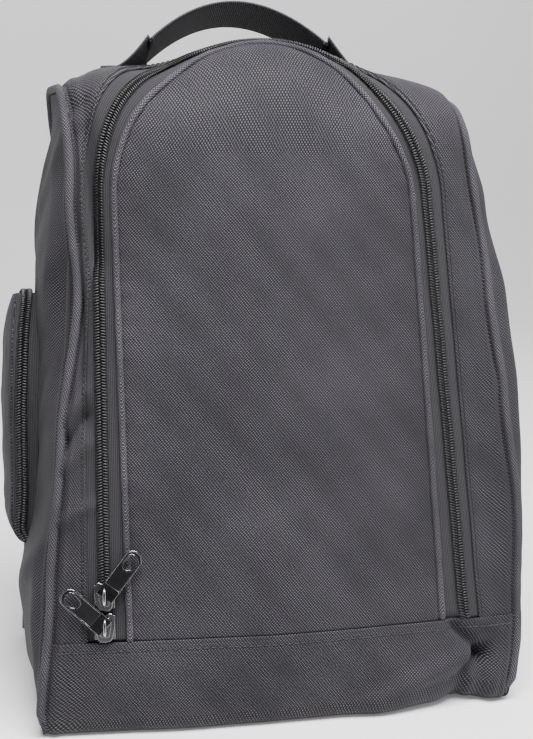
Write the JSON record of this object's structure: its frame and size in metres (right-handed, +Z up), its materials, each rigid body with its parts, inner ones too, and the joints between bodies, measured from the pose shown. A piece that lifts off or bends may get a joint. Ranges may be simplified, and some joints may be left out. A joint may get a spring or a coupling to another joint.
{
  "type": "golf shoe bag",
  "caption": "Upright soft shoe bag with an arched zip-round front door, webbing carry handle on top and a zipped gusset pocket on its left side.",
  "frame": {"origin": "middle of the base between the side seams, on its underside", "axes": "+Z up, the front door faces -Y, +X to the viewer's right from the front; the pocket is on the -X side"},
  "size_m": [0.2552, 0.161, 0.3474],
  "materials": {
    "twill": "matt coated polyester twill, charcoal",
    "zip_tape": "matt woven tape, black",
    "zip_coil": "satin nylon coil, black",
    "webbing": "ribbed polyester webbing, charcoal",
    "dark_metal": "glossy black plated zinc",
    "board": "matt"
  },
  "bodies": {
    "root": {"base_panel": "twill", "base_board": "board", "front_band": "twill", "front_surround": "twill", "side_panel_left": "twill", "side_panel_right": "twill", "back_panel": "twill", "side_piping_left": "twill", "side_piping_right": "twill", "seam_binding_left": "zip_tape", "seam_binding_right": "zip_tape", "zip_tape_outer": "zip_tape", "zip_coil_outer": "zip_coil", "door_foot": "twill", "door_tape_foot_left": "zip_tape", "door_tape_foot_right": "zip_tape", "door_coil_foot_left": "zip_coil", "door_coil_foot_right": "zip_coil", "door_piping_foot_left": "twill", "door_piping_foot_right": "twill", "handle_tab_left": "webbing", "handle_tab_right": "webbing", "pocket_foot": "twill", "pocket_tape_outer": "zip_tape", "pocket_coil_outer": "zip_coil", "pocket_tape_foot_front": "zip_tape", "pocket_tape_foot_rear": "zip_tape", "pocket_coil_foot_front": "zip_coil", "pocket_coil_foot_rear": "zip_coil"},
    "door": {"door_panel": "twill", "door_piping": "twill", "zip_tape_inner": "zip_tape", "zip_coil_inner": "zip_coil"},
    "lower_slider": {"lower_slider": "dark_metal"},
    "lower_pull": {"lower_pull": "dark_metal"},
    "upper_slider": {"upper_slider": "dark_metal"},
    "upper_pull": {"upper_pull": "dark_metal"},
    "handle": {"handle_strap": "webbing"},
    "pocket_flap": {"pocket_panel": "twill", "pocket_tape_inner": "zip_tape", "pocket_coil_inner": "zip_coil"},
    "pocket_slider": {"pocket_slider": "dark_metal"},
    "pocket_pull": {"pocket_pull": "dark_metal"}
  },
  "joints": [
    {"name": "door_fold", "type": "hinge", "parent": "root", "child": "door", "pos_m": [-0.00244, -0.06871, 0.09312], "axis": [1, 0, 0], "range_deg": [0, 110]},
    {"name": "lower_slider_travel", "type": "slide", "parent": "root", "child": "lower_slider", "axis": [0.0089, 0.1732, 0.9848], "range_m": [0, 0.08]},
    {"name": "upper_slider_travel", "type": "slide", "parent": "lower_slider", "child": "upper_slider", "axis": [0.0089, 0.1732, 0.9848], "range_m": [0, 0.085]},
    {"name": "lower_pull_flip", "type": "hinge", "parent": "lower_slider", "child": "lower_pull", "pos_m": [-0.09007, -0.07011, 0.05239], "axis": [0.6705, 0.0447, 0.7405], "range_deg": [0, 115]},
    {"name": "upper_pull_flip", "type": "hinge", "parent": "upper_slider", "child": "upper_pull", "pos_m": [-0.08994, -0.06767, 0.06658], "axis": [0.7764, -0.2038, -0.5964], "range_deg": [0, 115]},
    {"name": "handle_swing", "type": "hinge", "parent": "root", "child": "handle", "pos_m": [-0.009, 0.038, 0.3205], "axis": [1, 0, 0], "range_deg": [-15, 54]},
    {"name": "pocket_fold", "type": "hinge", "parent": "root", "child": "pocket_flap", "pos_m": [-0.13404, 0.02, 0.114], "axis": [0, -1, 0], "range_deg": [0, 60]},
    {"name": "pocket_slider_travel", "type": "slide", "parent": "root", "child": "pocket_slider", "axis": [0, 0, 1], "range_m": [0, 0.036]},
    {"name": "pocket_pull_flip", "type": "hinge", "parent": "pocket_slider", "child": "pocket_pull", "pos_m": [-0.1272, 0.0583, 0.104], "axis": [1, 0, 0], "range_deg": [0, 115]}
  ]
}
